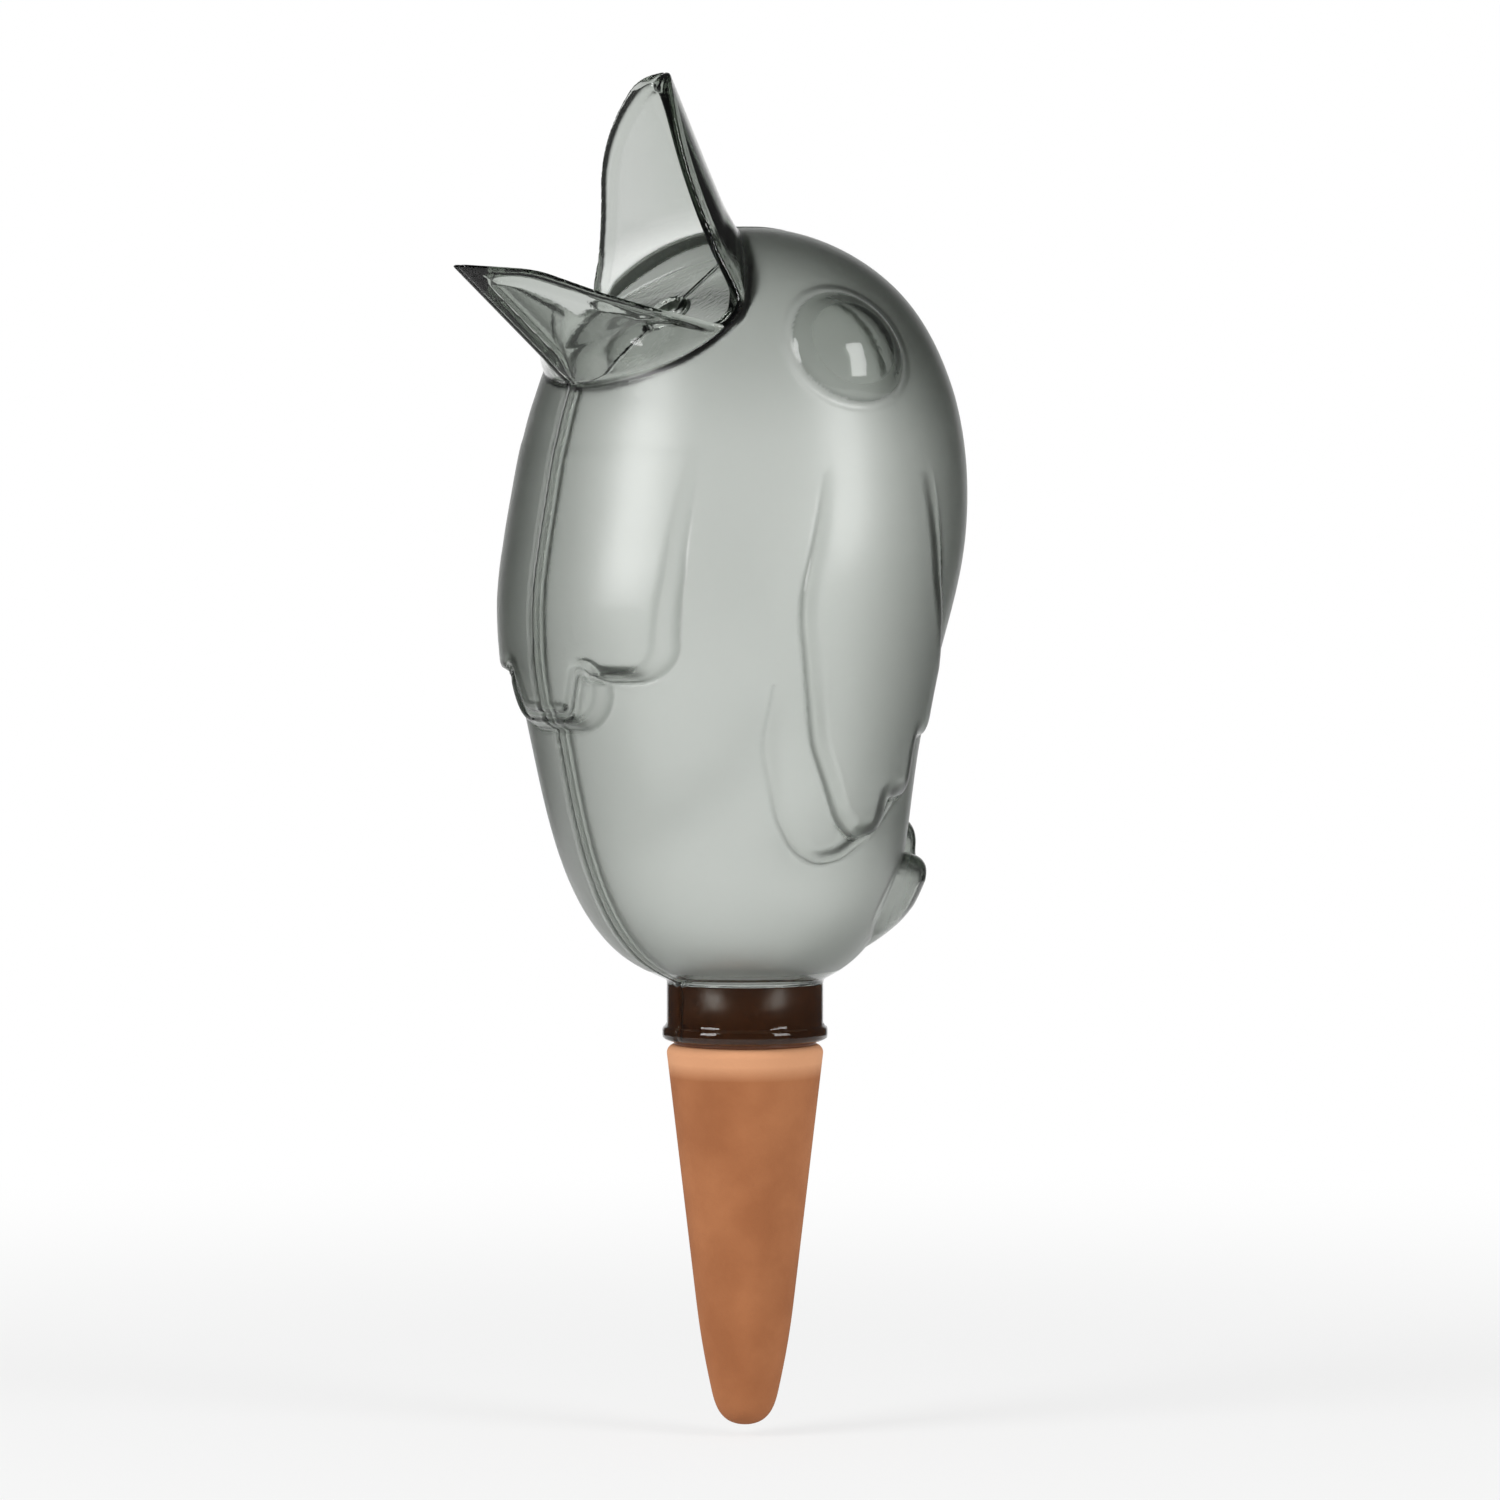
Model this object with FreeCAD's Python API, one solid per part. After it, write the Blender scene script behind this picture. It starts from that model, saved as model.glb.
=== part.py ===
import FreeCAD, Part
import math
import os

# A bird-shaped water tank of clear plastic on a hollow clay cone, for watering one potted plant.
# Millimetres, +Z up. The bird looks along -Y and its left side is +X. The origin is on the
# cone's axis at the top of the clay, which is the soil line. "Forward" is the distance towards -Y.

Vec = FreeCAD.Vector

# ---- tank body: height, radius and forward shift of the round sections, from the neck to the crown
BODY_STATIONS = (
    (13.0, 15.7, 0.0),
    (16.8, 22.3, 1.0),
    (22.0, 27.4, 1.7),
    (30.0, 31.9, 2.4),
    (42.0, 35.4, 3.6),
    (61.0, 38.9, 4.7),
    (81.0, 43.1, 4.2),
    (97.0, 45.4, 2.4),
    (111.0, 45.2, 0.9),
    (121.5, 44.0, 0.4),
    (130.0, 41.9, 0.0),
)
CROWN_SHOULDER_RADIUS = 31.7    # the crown's outline passes this radius at the height below
CROWN_SHOULDER_HEIGHT = 149.6
CROWN_HEIGHT = 163.4
CROWN_START_SLOPE = 0.30        # inward lean of the wall where the crown begins
TANK_WALL = 2.0

# ---- weld seam between the two halves
SEAM_RIM_WIDTH = 4.0            # across both halves
SEAM_RIM_DEPTH = 1.2            # how far the rim stands into the tank

# ---- neck
NECK_RADIUS = 15.7
NECK_WALL = 1.8
NECK_FOOT_HEIGHT = 1.0          # underside of the neck, on the plug's flange
NECK_OVERLAP = 1.6              # how far the neck's tube runs up into the body's floor
NECK_FILLET = 0.2
BEAD_RADIUS = 16.6
BEAD_HEIGHT = 2.8
BEAD_FOOT_ROUND = 1.3
BEAD_TOP_ROUND = 0.7

# ---- beak: an open funnel, lofted over the sloping plane that cuts the head
BEAK_BACK_FORWARD = 2.5         # where the upper ridge meets the crown
BEAK_BACK_HEIGHT = 160.5
BEAK_BASE_LENGTH = 47.3
BEAK_BASE_SLOPE = 38.6          # degrees, falling forward
UPPER_RIDGE_LEAN = -0.24        # drift along the base for each unit of height over it
LOWER_RIDGE_LEAN = 0.187
# height over the base, half-width, and the powers of the superellipse's back and front halves:
# the ring on the head is a full oval (2) at the front, and turns into sharp V ridges (near 1)
BEAK_SECTIONS = (
    (-8.0, 28.6, 1.45, 2.00),
    (-3.0, 28.6, 1.45, 2.00),
    (0.0, 28.6, 1.45, 2.00),
    (3.0, 28.3, 1.40, 1.85),
    (6.0, 27.8, 1.30, 1.55),
    (10.0, 27.3, 1.22, 1.30),
    (16.0, 27.0, 1.22, 1.30),
    (30.0, 26.9, 1.22, 1.30),
    (50.0, 26.9, 1.22, 1.30),
)
SECTION_POINTS = 24
BEAK_TRIM_REACH = 40.0          # sideways, past the beak's widest place
BEAK_WALL = 2.0
# side outline of the beak: forward, height and corner radius; the notch is the mouth's corner
BEAK_SIDE = (
    (-8.0, 194.3, 0.0),
    (21.6, 194.3, 5.0),
    (25.4, 181.0, 40.0),
    (17.5, 142.0, 5.0),
    (44.0, 150.4, 25.0),
    (56.0, 155.0, 20.0),
    (67.6, 156.0, 1.2),
    (71.0, 151.0, 0.0),
    (40.0, 118.0, 0.0),
    (-8.0, 118.0, 0.0),
)

# ---- mouth floor with the filling hole
FLOOR_DEPTH = 1.0               # floor's upper face below the beak's base plane
FLOOR_THICKNESS = 2.0
FILL_HOLE_RADIUS = 4.0
FILL_HOLE_SETBACK = 22.0        # along the base, from its back end
FILL_LIP_WALL = 1.2
FILL_LIP_HEIGHT = 1.2

# ---- eyes
EYE_HEIGHT = 140.0
EYE_DIAMETER = 27.0
EYE_SPHERE_RADIUS = 17.0

# ---- raised wings, bib and tail: (height, how far the relief stands off the body)
WING_SWELL = ((28.0, 2.8), (55.0, 2.8), (80.0, 1.8), (100.0, 1.0), (119.0, 0.3))
BIB_SWELL = ((56.0, 3.0), (77.0, 2.9), (89.0, 2.2), (100.0, 1.2), (124.0, 0.3))
TAIL_SWELL = ((17.0, 0.3), (22.0, 2.2), (28.0, 4.3), (33.0, 5.4), (52.0, 4.9))
WING_LEAN = 1.7                 # the wing's surface is shifted forward, so it thins towards the back
WING_FLARE_SHARE = 0.45         # height of the wing's lower step as a share of the whole relief
RELIEF_REACH = 70.0             # the outlines are carried this far out, past the body's surface
# outlines: sideways or forward distance, height and corner radius
WING_OUTLINE = (
    (10.0, 117.0, 3.0),
    (16.0, 90.0, 30.0),
    (12.0, 58.0, 20.0),
    (-1.0, 43.0, 5.0),
    (-10.5, 47.0, 2.0),
    (-11.0, 53.0, 0.8),
    (-18.5, 52.0, 3.5),
    (-20.0, 62.5, 0.8),
    (-27.0, 62.0, 3.5),
    (-28.5, 76.0, 5.0),
    (-21.0, 94.0, 20.0),
    (-17.0, 117.0, 3.0),
)
WING_FLARE = (
    (11.0, 112.0, 3.0),
    (18.0, 88.0, 30.0),
    (22.0, 58.0, 14.0),
    (12.0, 41.0, 8.0),
    (-3.0, 39.5, 8.0),
    (-8.0, 60.0, 2.0),
)
BIB_SIDE = (
    (31.5, 122.0, 3.0),
    (30.5, 76.0, 8.0),
    (15.5, 75.5, 0.8),
    (15.5, 65.0, 7.0),
)
TAIL_SIDE = (
    (10.0, 44.5, 5.0),
    (11.5, 37.0, 0.8),
    (25.0, 38.2, 5.0),
    (25.0, 24.0, 9.0),
    (10.0, 18.5, 4.0),
)

# ---- connector plug
PLUG_RUNNING_GAP = 0.05         # between the sealing ribs and the neck's bore
PLUG_CORE_INSET = 0.9           # the barrel between the ribs is this much smaller than the ribs
PLUG_TOP_HEIGHT = 12.4
PLUG_RIBS = ((3.2, 5.8), (8.6, 10.6))
PLUG_FLANGE_RADIUS = 14.3
PLUG_CHANNEL_RADIUS = 4.5
SPIGOT_RADIUS = 10.6
SPIGOT_LENGTH = 14.0
PLUG_LEAD_IN = 0.8

# ---- bond ring
BOND_THICKNESS = 1.0
BOND_LENGTH = 9.0

# ---- clay cone: depth and radius of the outline below the shoulder
CONE_TOP_RADIUS = 15.9
CONE_SHOULDER_RADIUS = 1.7
CONE_TAPER_DEPTH = 51.0         # the straight taper ends here and the nose begins
CONE_TAPER_RADIUS = 9.9
CONE_NOSE_DEPTH = 69.0
CONE_NOSE_RADIUS = 6.9
CONE_LENGTH = 76.7
CONE_WALL = 3.2


# ---------------------------------------------------------------- helpers

def unit(x, y, z):
    v = Vec(x, y, z)
    v.normalize()
    return v


def corner_arc(before, corner, after, radius):
    """Tangent points and middle point of the arc that rounds a corner."""
    to_before = (before - corner).normalize()
    to_after = (after - corner).normalize()
    half = to_before.getAngle(to_after) / 2
    run = radius / math.tan(half)
    centre = corner + (to_before + to_after).normalize() * (radius / math.sin(half))
    middle = centre + (corner - centre).normalize() * radius
    return corner + to_before * run, middle, corner + to_after * run


def rounded_wire(corners, place):
    """Closed wire of straight runs with arcs; corners are (a, b, radius) and place maps a, b to a point."""
    points = [place(a, b) for a, b, radius in corners]
    edges = []
    stretches = []
    for i, (a, b, radius) in enumerate(corners):
        here = points[i]
        if radius > 0:
            stretches.append(corner_arc(points[i - 1], here, points[(i + 1) % len(points)], radius))
        else:
            stretches.append((here, None, here))
    for i, (start, middle, end) in enumerate(stretches):
        if middle is not None:
            edges.append(Part.Arc(start, middle, end).toShape())
        next_start = stretches[(i + 1) % len(stretches)][0]
        if end.distanceToPoint(next_start) > 1e-6:
            edges.append(Part.LineSegment(end, next_start).toShape())
    return Part.Wire(edges)


def side_point(forward, height):
    return Vec(0, -forward, height)


def front_point(sideways, height):
    return Vec(sideways, 0, height)


def section_point(radius, height):
    return Vec(radius, 0, height)


def turned(corners):
    """Solid of revolution about the axis from rounded (radius, height) corners."""
    face = Part.Face(rounded_wire(corners, section_point))
    return face.revolve(Vec(0, 0, 0), Vec(0, 0, 1), 360)


def mirrored(shape):
    return shape.mirror(Vec(0, 0, 0), Vec(1, 0, 0))


def fused(shapes):
    result = shapes[0]
    for shape in shapes[1:]:
        result = result.fuse(shape)
    return result


# ---------------------------------------------------------------- tank body

def interpolate(pairs, x):
    """Straight-line value between hand-set pairs."""
    for (x0, y0), (x1, y1) in zip(pairs, pairs[1:]):
        if x <= x1:
            return y0 + (y1 - y0) * max(0.0, x - x0) / (x1 - x0)
    return pairs[-1][1]


def shifted_station(index, inset):
    """A body section moved inwards along the wall's own normal."""
    height, radius, forward = BODY_STATIONS[index]
    below = BODY_STATIONS[max(index - 1, 0)]
    above = BODY_STATIONS[min(index + 1, len(BODY_STATIONS) - 1)]
    rise = above[0] - below[0]
    growth = above[1] - below[1]
    length = math.hypot(rise, growth)
    return height + inset * growth / length, radius - inset * rise / length, forward


def circle_wire(height, radius, forward):
    return Part.Wire(Part.makeCircle(radius, Vec(0, -forward, height)))


def crown(inset):
    """The dome over the top section."""
    height, radius, forward = shifted_station(len(BODY_STATIONS) - 1, inset)
    shoulder = Vec(CROWN_SHOULDER_RADIUS, 0, CROWN_SHOULDER_HEIGHT) - unit(1, 0, 1) * inset
    outline = Part.BSplineCurve()
    outline.interpolate(
        Points=[Vec(radius, 0, height), shoulder, Vec(0, 0, CROWN_HEIGHT - inset)],
        InitialTangent=unit(-CROWN_START_SLOPE, 0, 1),
        FinalTangent=unit(-1, 0, 0),
    )
    axis = Part.LineSegment(Vec(0, 0, CROWN_HEIGHT - inset), Vec(0, 0, height)).toShape()
    base = Part.LineSegment(Vec(0, 0, height), Vec(radius, 0, height)).toShape()
    face = Part.Face(Part.Wire([outline.toShape(), axis, base]))
    return face.revolve(Vec(0, 0, 0), Vec(0, 0, 1), 360)


def body(inset):
    stations = [shifted_station(i, inset) for i in range(len(BODY_STATIONS))]
    trunk = Part.makeLoft([circle_wire(*station) for station in stations], True, False)
    return fused([trunk, crown(inset)])


def swollen_body(swell, share, lean, inset):
    """The body's trunk with each section grown by the relief's height and moved forward."""
    wires = []
    for index in range(len(BODY_STATIONS)):
        height, radius, forward = shifted_station(index, inset)
        wires.append(circle_wire(height, radius + share * interpolate(swell, height), forward + lean))
    return Part.makeLoft(wires, True, False)


# ---------------------------------------------------------------- reliefs

def relief(outline, place, direction, swollen, inset):
    """A raised pad: the swollen body inside an outline that is carried along a direction."""
    face = Part.Face(rounded_wire(outline, place))
    if inset > 0:
        face = Part.Face(face.OuterWire.makeOffset2D(-inset))
    return face.extrude(direction * RELIEF_REACH).common(swollen)


def symmetric_outline(side):
    """A left-right symmetric closed outline from its right side, top to bottom."""
    return tuple(side) + tuple((-a, b, radius) for a, b, radius in reversed(side))


def reliefs(inset):
    """The left wing's two steps, the bib and the tail."""
    leftwards = Vec(1, 0, 0)
    backwards = Vec(0, 1, 0)
    wing_skin = swollen_body(WING_SWELL, 1.0, WING_LEAN, inset)
    flare_skin = swollen_body(WING_SWELL, WING_FLARE_SHARE, WING_LEAN, inset)
    bib_skin = swollen_body(BIB_SWELL, 1.0, 0.0, inset)
    tail_skin = swollen_body(TAIL_SWELL, 1.0, 0.0, inset)
    return [
        relief(WING_OUTLINE, side_point, leftwards, wing_skin, inset),
        relief(WING_FLARE, side_point, leftwards, flare_skin, inset),
        relief(symmetric_outline(BIB_SIDE), front_point, -backwards, bib_skin, inset),
        relief(symmetric_outline(TAIL_SIDE), front_point, backwards, tail_skin, inset),
    ]


# ---------------------------------------------------------------- eyes, neck, beak

def side_of_head(head, height):
    """Point on the head's left side at a height."""
    box = head.slice(Vec(0, 0, 1), height)[0].BoundBox
    return Vec(box.XMax, box.Center.y, height)


def eye(inset):
    """A ball sunk in the head so that it meets the surface in a circle of the eye's diameter."""
    head = body(0.0)
    step = EYE_DIAMETER / 10
    middle = side_of_head(head, EYE_HEIGHT)
    rise = side_of_head(head, EYE_HEIGHT + step) - side_of_head(head, EYE_HEIGHT - step)
    outward = unit(rise.z, 0, -rise.x)
    dip = EYE_DIAMETER ** 2 / (8 * middle.x)
    rim = math.sqrt(EYE_SPHERE_RADIUS ** 2 - (EYE_DIAMETER / 2) ** 2)
    return Part.makeSphere(EYE_SPHERE_RADIUS - inset, middle - outward * (rim + dip))


def neck_outside():
    return turned((
        (0.0, NECK_FOOT_HEIGHT, 0.0),
        (BEAD_RADIUS, NECK_FOOT_HEIGHT, BEAD_FOOT_ROUND),
        (BEAD_RADIUS, NECK_FOOT_HEIGHT + BEAD_HEIGHT, BEAD_TOP_ROUND),
        (NECK_RADIUS, NECK_FOOT_HEIGHT + BEAD_HEIGHT, NECK_FILLET),
        (NECK_RADIUS, BODY_STATIONS[0][0] + NECK_OVERLAP, 0.0),
        (0.0, BODY_STATIONS[0][0] + NECK_OVERLAP, 0.0),
    ))


def neck_bore_radius():
    return NECK_RADIUS - NECK_WALL


def neck_bore():
    top = BODY_STATIONS[0][0] + TANK_WALL + NECK_OVERLAP
    return Part.makeCylinder(neck_bore_radius(), top, Vec(0, 0, 0))


SLOPE = math.radians(BEAK_BASE_SLOPE)
BEAK_BACK = Vec(0, -BEAK_BACK_FORWARD, BEAK_BACK_HEIGHT)
ALONG_BASE = Vec(0, -math.cos(SLOPE), -math.sin(SLOPE))
OUT_OF_BASE = Vec(0, -math.sin(SLOPE), math.cos(SLOPE))
SIDEWAYS = Vec(1, 0, 0)
BASE_MIDDLE = BEAK_BACK + ALONG_BASE * (BEAK_BASE_LENGTH / 2)


def above_base(depth):
    """Everything over the plane that lies this far below the beak's base."""
    size = BEAK_BASE_LENGTH * 4
    block = Part.makeBox(size, size, size, Vec(-size / 2, -size / 2, 0))
    block.rotate(Vec(0, 0, 0), SIDEWAYS, BEAK_BASE_SLOPE)
    block.translate(BASE_MIDDLE - OUT_OF_BASE * depth)
    return block


def beak_section(over, half_width, back_power, front_power, inset):
    """Closed curve of the beak at a height over its base: a superellipse between the two ridges."""
    back = UPPER_RIDGE_LEAN * over
    front = BEAK_BASE_LENGTH + LOWER_RIDGE_LEAN * over
    points = []
    for i in range(SECTION_POINTS):
        turn = 2 * math.pi * i / SECTION_POINTS
        ahead = math.cos(turn)
        aside = math.sin(turn)
        power = front_power if ahead > 0 else back_power
        narrowing = inset * 2 ** (1 / power - 0.5)
        length = math.copysign(abs(ahead) ** (2 / power), ahead) * ((front - back) / 2 - narrowing)
        width = math.copysign(abs(aside) ** (2 / power), aside) * (half_width - narrowing)
        along = ALONG_BASE * ((front + back) / 2 + length)
        points.append(BEAK_BACK + along + SIDEWAYS * width + OUT_OF_BASE * over)
    curve = Part.BSplineCurve()
    curve.interpolate(Points=points, PeriodicFlag=True)
    return Part.Wire(curve.toShape())


def funnel(inset):
    return Part.makeLoft([beak_section(*section, inset) for section in BEAK_SECTIONS], True, False)


def beak():
    side = Part.Face(rounded_wire(BEAK_SIDE, side_point))
    side.translate(SIDEWAYS * -BEAK_TRIM_REACH)
    return funnel(0.0).common(side.extrude(SIDEWAYS * BEAK_TRIM_REACH * 2))


def fill_axis_point(depth):
    return BEAK_BACK + ALONG_BASE * FILL_HOLE_SETBACK - OUT_OF_BASE * depth


def fill_lip():
    foot = fill_axis_point(FLOOR_DEPTH + FLOOR_THICKNESS / 2)
    return Part.makeCylinder(
        FILL_HOLE_RADIUS + FILL_LIP_WALL, FLOOR_THICKNESS / 2 + FILL_LIP_HEIGHT, foot, OUT_OF_BASE)


def fill_hole():
    foot = fill_axis_point(FLOOR_DEPTH + FLOOR_THICKNESS * 2)
    return Part.makeCylinder(FILL_HOLE_RADIUS, FLOOR_THICKNESS * 4 + FILL_LIP_HEIGHT, foot, OUT_OF_BASE)


# ---------------------------------------------------------------- tank halves

def seam_slab():
    height = CROWN_HEIGHT * 2
    corner = Vec(-SEAM_RIM_WIDTH / 2, -height / 2, BODY_STATIONS[1][0])
    return Part.makeBox(SEAM_RIM_WIDTH, height, height, corner)


def tank_space():
    """The water space with the neck's bore, less the weld rim along the seam."""
    space = fused([body(TANK_WALL)] + reliefs(TANK_WALL) + [eye(TANK_WALL)])
    space = space.cut(above_base(FLOOR_DEPTH + FLOOR_THICKNESS))
    space = space.cut(seam_slab().cut(body(TANK_WALL + SEAM_RIM_DEPTH)))
    return space.fuse(neck_bore())


def tank():
    """The tank with only its left wing and eye, because the right half is a mirrored left half."""
    outside = fused([body(0.0)] + reliefs(0.0) + [eye(0.0), neck_outside(), beak()])
    mouth_space = funnel(BEAK_WALL).common(above_base(FLOOR_DEPTH))
    shell = outside.cut(mouth_space)
    shell = shell.cut(tank_space())
    return shell.fuse(fill_lip()).cut(fill_hole())


def left_half(shape):
    size = CROWN_HEIGHT * 3
    return shape.common(Part.makeBox(size, size, size, Vec(0, -size / 2, -size / 2)))


# ---------------------------------------------------------------- plug, bond and cone

def connector_plug():
    rib = neck_bore_radius() - PLUG_RUNNING_GAP
    core = rib - PLUG_CORE_INSET
    corners = [
        (PLUG_CHANNEL_RADIUS, -SPIGOT_LENGTH, 0.0),
        (SPIGOT_RADIUS, -SPIGOT_LENGTH, PLUG_LEAD_IN),
        (SPIGOT_RADIUS, 0.0, 0.0),
        (PLUG_FLANGE_RADIUS, 0.0, 0.0),
        (PLUG_FLANGE_RADIUS, NECK_FOOT_HEIGHT, 0.0),
        (core, NECK_FOOT_HEIGHT, 0.0),
    ]
    for bottom, top in PLUG_RIBS:
        corners += [(core, bottom, 0.0), (rib, bottom, 0.0), (rib, top, 0.0), (core, top, 0.0)]
    corners += [(core, PLUG_TOP_HEIGHT, PLUG_LEAD_IN), (PLUG_CHANNEL_RADIUS, PLUG_TOP_HEIGHT, 0.0)]
    return turned(corners)


def bond_ring():
    outer = Part.makeCylinder(SPIGOT_RADIUS + BOND_THICKNESS, BOND_LENGTH, Vec(0, 0, -BOND_LENGTH))
    return outer.cut(Part.makeCylinder(SPIGOT_RADIUS, BOND_LENGTH, Vec(0, 0, -BOND_LENGTH)))


def nose(radius, depth, middle_radius, middle_depth, length):
    """Outline of the cone's rounded end, from the taper to the tip."""
    taper = unit(radius - CONE_TOP_RADIUS, 0, -depth)
    curve = Part.BSplineCurve()
    curve.interpolate(
        Points=[Vec(radius, 0, -depth), Vec(middle_radius, 0, -middle_depth), Vec(0, 0, -length)],
        InitialTangent=taper * CONE_NOSE_RADIUS,
        FinalTangent=Vec(-CONE_NOSE_RADIUS, 0, 0),
    )
    return curve.toShape()


def clay_cone():
    socket = SPIGOT_RADIUS + BOND_THICKNESS
    top_in = Vec(socket, 0, 0)
    top_out = Vec(CONE_TOP_RADIUS, 0, 0)
    taper_end = Vec(CONE_TAPER_RADIUS, 0, -CONE_TAPER_DEPTH)
    start, middle, end = corner_arc(top_in, top_out, taper_end, CONE_SHOULDER_RADIUS)
    ledge = Vec(socket, 0, -BOND_LENGTH)
    inner_end = Vec(CONE_TAPER_RADIUS - CONE_WALL, 0, -CONE_TAPER_DEPTH)
    wire = Part.Wire([
        Part.LineSegment(top_in, start).toShape(),
        Part.Arc(start, middle, end).toShape(),
        Part.LineSegment(end, taper_end).toShape(),
        nose(CONE_TAPER_RADIUS, CONE_TAPER_DEPTH, CONE_NOSE_RADIUS, CONE_NOSE_DEPTH, CONE_LENGTH),
        Part.LineSegment(Vec(0, 0, -CONE_LENGTH), Vec(0, 0, CONE_WALL - CONE_LENGTH)).toShape(),
        nose(CONE_TAPER_RADIUS - CONE_WALL, CONE_TAPER_DEPTH, CONE_NOSE_RADIUS - CONE_WALL,
             CONE_NOSE_DEPTH - CONE_WALL / 2, CONE_LENGTH - CONE_WALL),
        Part.LineSegment(inner_end, ledge).toShape(),
        Part.LineSegment(ledge, top_in).toShape(),
    ])
    return Part.Face(wire).revolve(Vec(0, 0, 0), Vec(0, 0, 1), 360)


# ---------------------------------------------------------------- the assembly

def build():
    os.makedirs("parts", exist_ok=True)
    left = left_half(tank())
    nodes = {
        "tank_left": left,
        "tank_right": mirrored(left),
        "connector_plug": connector_plug(),
        "bond_ring": bond_ring(),
        "clay_cone": clay_cone(),
    }
    for name, shape in nodes.items():
        solids = shape.Solids
        print(name, len(solids), "solid(s)", round(shape.Volume / 1000, 1), "cm3", shape.isValid())
        solids[0].exportStep("parts/" + name + ".step")
    print("water space", round(left_half(tank_space()).Volume * 2 / 1000), "ml")
    hole_foot = FLOOR_DEPTH + FLOOR_THICKNESS
    hole_top = FLOOR_DEPTH - FILL_LIP_HEIGHT
    print("filling hole", fill_axis_point((hole_foot + hole_top) / 2), "length", hole_foot - hole_top)


build()
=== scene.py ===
import math

import bpy
import numpy as np
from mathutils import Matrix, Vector


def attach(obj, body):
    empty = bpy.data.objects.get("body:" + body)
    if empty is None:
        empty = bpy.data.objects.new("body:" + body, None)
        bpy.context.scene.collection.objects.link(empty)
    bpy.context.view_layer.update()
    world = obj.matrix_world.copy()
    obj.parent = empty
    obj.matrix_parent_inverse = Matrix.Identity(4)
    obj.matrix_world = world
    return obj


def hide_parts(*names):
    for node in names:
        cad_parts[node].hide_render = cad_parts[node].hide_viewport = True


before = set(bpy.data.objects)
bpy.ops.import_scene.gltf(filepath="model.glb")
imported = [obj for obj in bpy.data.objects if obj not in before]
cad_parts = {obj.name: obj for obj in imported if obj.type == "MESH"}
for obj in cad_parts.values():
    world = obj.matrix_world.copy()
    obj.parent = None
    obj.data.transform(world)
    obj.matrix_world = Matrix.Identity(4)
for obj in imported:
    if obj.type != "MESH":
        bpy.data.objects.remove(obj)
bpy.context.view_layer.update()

# The look of a bird-shaped watering tank on a clay cone.
#
# Each half of the tank is a mesh made from a signed field: a distance to the plastic's surface in
# millimetres, negative inside the plastic. "Forward" is the distance towards -Y. The body, neck,
# beak, eyes and filling hole follow the sizes of the CAD solids. The reliefs are redrawn closer to
# the photo, so their outlines and heights differ from the solids', and the mouth floor is thinner
# at the front. The plug is a turned mesh. The bond and the cone keep their solids.
#
# Outlines are lists of (place, height, corner radius).

GRID_STEP = 0.5
GRID_LOW = (-1.0, -71.0, -0.5)
GRID_HIGH = (48.5, 48.5, 196.0)
MM = 0.001

# ---- body: height, radius, forward shift
BODY_STATIONS = (
    (13.0, 15.7, 0.0), (16.8, 22.3, 1.0), (22.0, 27.4, 1.7), (30.0, 31.9, 2.4),
    (42.0, 35.4, 3.6), (61.0, 38.9, 4.7), (81.0, 43.1, 4.2), (97.0, 45.4, 2.4),
    (111.0, 45.2, 0.9), (121.5, 44.0, 0.4), (130.0, 41.9, 0.0),
)
CROWN_POINTS = ((31.7, 149.6), (0.0, 163.4))    # radius, height
PROFILE_POINTS = 500
WALL = 2.0

# ---- weld seam between the halves
SEAM_RIM_HALF_WIDTH = 2.0       # the rim stands into the tank
SEAM_RIM_DEPTH = 1.2
SEAM_RIM_EDGE = 0.4
SEAM_LAND_HALF_WIDTH = 1.8      # the land is a low strip outside, which fades out at the back
SEAM_LAND_HEIGHT = 0.22
SEAM_LAND_EDGE = 0.3
SEAM_LAND_FADE = (-30.0, -10.0)
SEAM_GROOVE_DEPTH = 0.30
SEAM_GROOVE_REACH = 0.4
WELD_OVERLAP = 0.02             # each half reaches this far past the seam, so light passes the weld

# ---- neck
NECK_RADIUS = 15.7
NECK_BORE = 13.9
NECK_FOOT = 1.0
NECK_TOP = 14.6
NECK_FILLET = 0.4
BORE_REACH = 4.0                # how far the bore cuts up into the body's floor
BORE_FILLET = 0.8
BEAD_RADIUS = 16.6
BEAD_HEIGHT = 2.8
BEAD_ROUND = 1.0

# ---- plug: it presses into the neck's bore by PLUG_SQUEEZE, so that no air lies between them and
# the neck looks brown to its edges
PLUG_SQUEEZE = 0.05
PLUG_BARREL = NECK_BORE + PLUG_SQUEEZE
PLUG_OUTLINE = (
    (4.5, -14.0, 0.4), (10.6, -14.0, 0.8), (10.6, 0.0, 0.1), (14.3, 0.0, 0.3),
    (14.3, NECK_FOOT, 0.2), (PLUG_BARREL, NECK_FOOT, 0.0), (PLUG_BARREL, 12.4, 0.5),
    (4.5, 12.4, 0.4),
)
PLUG_SIDES = 160

# ---- beak: a loft over a sloping base, with superellipse sections that sharpen above the ring
BEAK_BACK = (2.5, 160.5)        # forward, height
BEAK_BASE_LENGTH = 47.3
BEAK_SLOPE = math.radians(38.6)
UPPER_LEAN = -0.24
LOWER_LEAN = 0.187
RING_HALF_WIDTH = 28.6
UPPER_HALF_WIDTH = 26.2
LOWER_HALF_WIDTH = 27.6
RING_HEIGHT = 10.0              # over the base, where the sections are those of the beak's tips
UPPER_HEIGHT = 20.0             # and where the upper beak's width is
MIDDLE_BLEND = 3.0
RING_BACK_POWER = 1.45
RING_FRONT_POWER = 2.0
UPPER_POWER = 1.22
LOWER_POWER = 1.30
RIDGE_ROUNDING = 1.5            # half-width over which a ridge is rounded
RIDGE_REACH = 0.6               # added to a ridge's reach, which the rounding shortens
BEAK_SINK = 8.0
BEAK_FILLET = 1.0
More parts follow.
